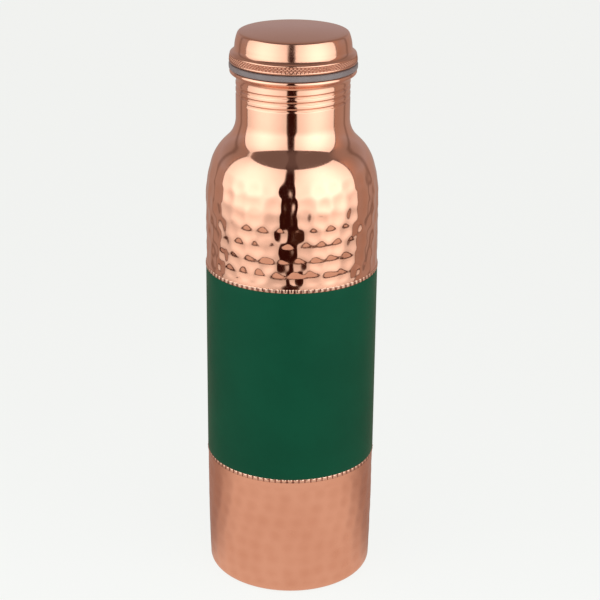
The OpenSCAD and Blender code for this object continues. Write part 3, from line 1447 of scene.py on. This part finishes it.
@dataclass
class Studio:
    """Pale floor, soft panels with a dark gap between them, and the camera."""

    lens: float = 102.66
    sensor: float = 36.0
    pitch: float = 21.43
    roll: float = 0.44
    distance: float = 0.7582
    aim_z: float = 0.1275
    shift_x: float = 0.01428
    panel_distance: float = 0.35
    panel_height: float = 0.6
    panel_steps: int = 36
    outer_edges: tuple[float, float] = (-102.0, 89.0)
    inner_low: tuple[float, float] = (-10.5, 8.0)
    inner_high: tuple[float, float] = (-8.5, 2.0)
    strengths: tuple[float, float] = (0.93, 1.0)
    frame_h: float = 0.015
    pale: Colour = (0.871, 0.888, 0.871)
    floor_half: float = 6.0
    floor_z: float = -0.0002
    floor_glow: float = 0.965
    table_z: float = -0.0001
    table_front: Colour = (0.73, 0.575, 0.50)
    table_back: Colour = (0.38, 0.26, 0.22)
    frame_dark: Colour = (0.05, 0.018, 0.01)
    stand_dark: Colour = (0.09, 0.05, 0.035)
    ceiling_dark: Colour = (0.19, 0.155, 0.15)
    gap_dark: Colour = (0.03, 0.006, 0.004)

    def camera(self) -> None:
        """Places the camera and makes it the scene's."""
        data = bpy.data.cameras.new("camera")
        data.lens = self.lens
        data.sensor_width = self.sensor
        data.shift_x = self.shift_x
        camera = bpy.data.objects.new("camera", data)
        bpy.context.collection.objects.link(camera)
        down = math.radians(self.pitch)
        height = self.aim_z + self.distance * math.sin(down)
        camera.location = (0, -self.distance * math.cos(down), height)
        tilt = Matrix.Rotation(math.radians(90 - self.pitch), 4, "X")
        turn = tilt @ Matrix.Rotation(math.radians(self.roll), 4, "Z")
        camera.rotation_euler = turn.to_euler()
        bpy.context.scene.camera = camera

    def floor(self) -> None:
        """Lays the floor that the camera sees."""
        bm = bmesh.new()
        bmesh.ops.create_grid(bm, x_segments=1, y_segments=1, size=self.floor_half)
        floor = finish_mesh(bm, "floor")
        for corner in floor.data.vertices:
            corner.co.z = self.floor_z
        material, graph, shader, _ = start_material("floor_pale")
        values = {
            "Base Color": (0.1, 0.1, 0.1),
            "Roughness": 0.9,
            "Specular IOR Level": 0.1,
            "Emission Color": self.pale,
            "Emission Strength": self.floor_glow,
        }
        graph.fill(shader, values)
        floor.data.materials.append(material)
        floor.visible_glossy = False

    def table(self) -> None:
        """Lays the patch of table that the metal reflects, bright in front and dim behind."""
        bm = bmesh.new()
        bmesh.ops.create_circle(bm, cap_ends=True, segments=96, radius=self.panel_distance)
        table = finish_mesh(bm, "table_reflection")
        for corner in table.data.vertices:
            corner.co.z = self.table_z
        material, graph, place, glow = start_glow("table_glow")
        x, y, _ = graph.split(place)
        off_front = graph.math("ABSOLUTE", graph.azimuth(x, y))
        front = graph.span(off_front, math.radians(62), math.radians(112), 1.0, 0.0)
        graph.feed(glow, graph.mix(front, self.table_back, self.table_front))
        table.data.materials.append(material)
        table.visible_camera = False
        table.visible_diffuse = False
        table.visible_shadow = False

    def panel_glow(self, number: int) -> bpy.types.Material:
        """Makes a panel's light: strongest in its middle, with thin dark frames.

        Args:
            number: which panel, 0 on the left and 1 on the right.

        Returns:
            The new material.
        """
        outer = math.radians(self.outer_edges[number])
        inner_low = math.radians(self.inner_low[number])
        inner_high = math.radians(self.inner_high[number])
        material, graph, place, light = start_glow(f"panel_glow_{number}")
        x, y, height = graph.split(place)
        inner = graph.span(height, 0.06, 0.26, inner_low, inner_high)
        width = graph.math("SUBTRACT", inner, outer)
        past_edge = graph.math("SUBTRACT", graph.azimuth(x, y), outer)
        across = graph.math("DIVIDE", past_edge, width)
        away = graph.times(graph.apart(across, 0.5), 2.0)
        hump = graph.span(away, 0.05, 1.0, 1.0, 0.66)
        stops = (
            (0.0, (0.98, 0.95, 0.92)),
            (0.1, (1.2, 1.18, 1.16)),
            (0.21, (1.55, 1.54, 1.53)),
            (0.39, (2.1, 2.1, 2.1)),
            (0.7, (1.9, 1.9, 1.9)),
            (1.0, (1.6, 1.6, 1.6)),
        )
        glow = graph.ramp(graph.math("DIVIDE", height, self.panel_height), stops)
        fade = graph.span(away, 0.93, 0.995, 1.0, 0.0)
        base = graph.span(height, self.frame_h, self.frame_h + 0.002)
        share = graph.times(graph.times(hump, self.strengths[number]), graph.times(fade, base))
        graph.feed(light, graph.mix(share, self.frame_dark, glow))
        return material

    def panels(self) -> None:
        """Stands the glowing panels round the front of the bottle."""
        for number, outer in enumerate(self.outer_edges):
            bm = bmesh.new()
            first = bm.verts.new((0, -self.panel_distance, 0.0))
            second = bm.verts.new((0, -self.panel_distance, self.panel_height))
            edge = bm.edges.new((first, second))
            toward = min(self.inner_low[number], self.inner_high[number], key=abs)
            turn = Matrix.Rotation(math.radians(outer), 3, "Z")
            bmesh.ops.rotate(bm, verts=[first, second], cent=(0, 0, 0), matrix=turn)
            bmesh.ops.spin(
                bm, geom=[first, second, edge], cent=(0, 0, 0), axis=(0, 0, 1),
                angle=math.radians(toward - outer), steps=self.panel_steps, use_merge=False,
            )
            panel = finish_mesh(bm, f"light_panel_{number}")
            panel.data.materials.append(self.panel_glow(number))
            panel.visible_camera = False
            panel.visible_shadow = False

    def surroundings(self) -> None:
        """Paints the room: pale to the camera, dim and warm in reflections, black in the gap."""
        world = bpy.data.worlds.new("room")
        world.use_nodes = True
        bpy.context.scene.world = world
        graph = Graph(world.node_tree)
        x, y, up = graph.split(graph.add("TexCoord").outputs["Generated"])
        azimuth = graph.azimuth(x, y)
        behind = graph.span(y, -0.1, 0.5)
        rise = graph.span(up, -1.0, 1.0)
        side_stops = (
            (0.0, (0.38, 0.26, 0.21)),
            (0.5, (0.46, 0.31, 0.25)),
            (0.85, (0.60, 0.37, 0.28)),
            (0.96, (0.34, 0.24, 0.21)),
        )
        back_stops = (
            (0.0, (0.40, 0.29, 0.24)),
            (0.5, (0.44, 0.34, 0.31)),
            (0.62, (0.43, 0.37, 0.38)),
            (0.85, (0.33, 0.26, 0.24)),
        )
        room = graph.mix(behind, graph.ramp(rise, side_stops), graph.ramp(rise, back_stops))
        off_stand = graph.apart(graph.math("ABSOLUTE", azimuth), math.radians(127))
        room = graph.mix(graph.span(off_stand, 0.0, 0.12, 0.5, 0.0), room, self.stand_dark)
        gap_from = math.radians(self.inner_low[0] - 3)
        gap_to = math.radians(self.inner_low[1] + 3)
        half_gap = (gap_to - gap_from) / 2
        off_gap = graph.apart(azimuth, (gap_from + gap_to) / 2)
        gap = graph.span(off_gap, half_gap, half_gap + 0.05, 1.0, 0.0)
        ceiling = graph.times(graph.span(up, 0.62, 0.7), graph.span(y, 0.0, 0.2, 1.0, 0.0))
        room = graph.mix(ceiling, room, self.ceiling_dark)
        below = graph.span(up, 0.6, 0.95, 1.0, 0.35)
        room = graph.mix(graph.times(gap, below), room, self.gap_dark)
        seen = graph.add("LightPath").outputs["Is Camera Ray"]
        background = world.node_tree.nodes["Background"]
        graph.feed(background.inputs["Color"], graph.mix(seen, room, self.pale))

    def build(self) -> None:
        """Sets up the whole studio."""
        bpy.context.scene.view_settings.view_transform = "Standard"
        self.camera()
        self.floor()
        self.table()
        self.panels()
        self.surroundings()
        log.info("studio ready")


def main() -> None:
    """Builds the studio and then the bottle from the table up."""
    logging.basicConfig(level=logging.INFO, format="%(name)s: %(message)s")
    Studio().build()
    finishes = Finishes()
    lower, upper = extent("lower_body"), extent("upper_body")
    high_ring, low_ring = extent("upper_milled_ring"), extent("lower_milled_ring")
    LowerBody(lower, low_ring.low).build(finishes)
    UpperBody(upper, high_ring.high, lower.high).build(finishes)
    for name, node, size, style in (
        ("milled_ring_upper", "upper_milled_ring", high_ring, RingStyle.FLUTED),
        ("milled_ring_lower", "lower_milled_ring", low_ring, RingStyle.BEADED),
    ):
        MilledRing(name, node, size, upper.radius, style).build(finishes)
    EnamelBand(extent("band_coat"), upper.radius).build(finishes)
    SealWasher(extent("seal_washer")).build(finishes)
    CapShell(extent("cap_shell")).build(finishes)
    CapPlug(extent("cap_plug")).build(finishes)
    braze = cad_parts["body_braze"]
    braze.data.materials.clear()
    braze.data.materials.append(finishes.braze)


if __name__ == "__main__":
    main()
